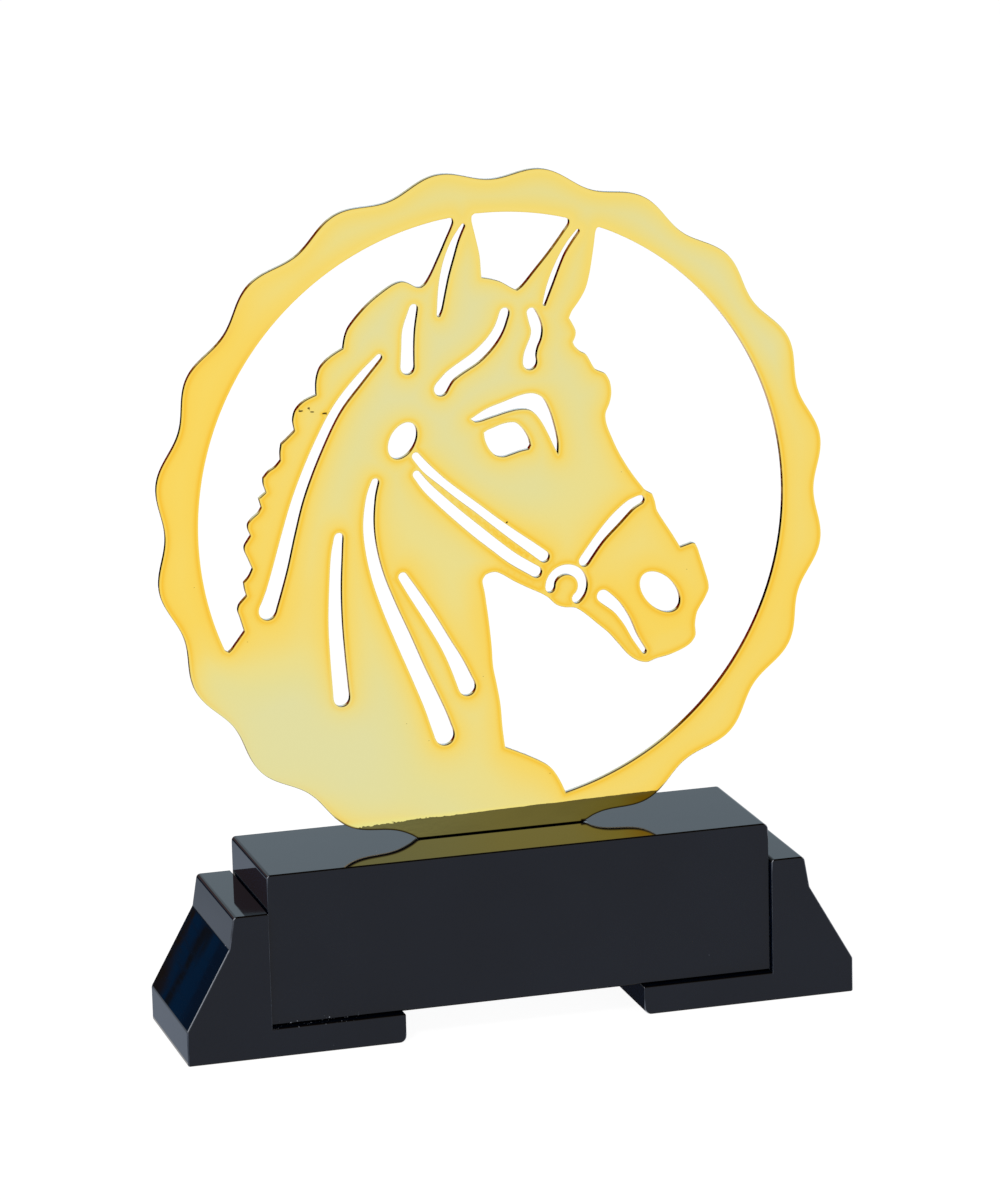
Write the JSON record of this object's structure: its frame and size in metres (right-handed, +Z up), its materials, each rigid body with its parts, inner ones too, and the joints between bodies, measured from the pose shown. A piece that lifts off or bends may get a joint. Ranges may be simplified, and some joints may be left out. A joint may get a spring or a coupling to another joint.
{
  "type": "horse trophy",
  "caption": "Upright gold-plated plate with a scalloped rim and a cut-out horse head in profile, standing in a slot of a glossy black plinth on two stepped feet.",
  "frame": {"origin": "middle of the underside of the two feet, where the bounding box's bottom face has its centre", "axes": "+X to the right, the way the horse looks; +Y to the back; +Z up"},
  "size_m": [0.2002, 0.0466, 0.2466],
  "materials": {
    "gold_plating": "mirror-polished gold plating on sheet metal",
    "black_lacquer": "high-gloss black lacquer"
  },
  "bodies": {
    "root": {"medallion": "gold_plating", "plinth_block": "black_lacquer", "left_foot": "black_lacquer", "right_foot": "black_lacquer"}
  },
  "joints": []
}
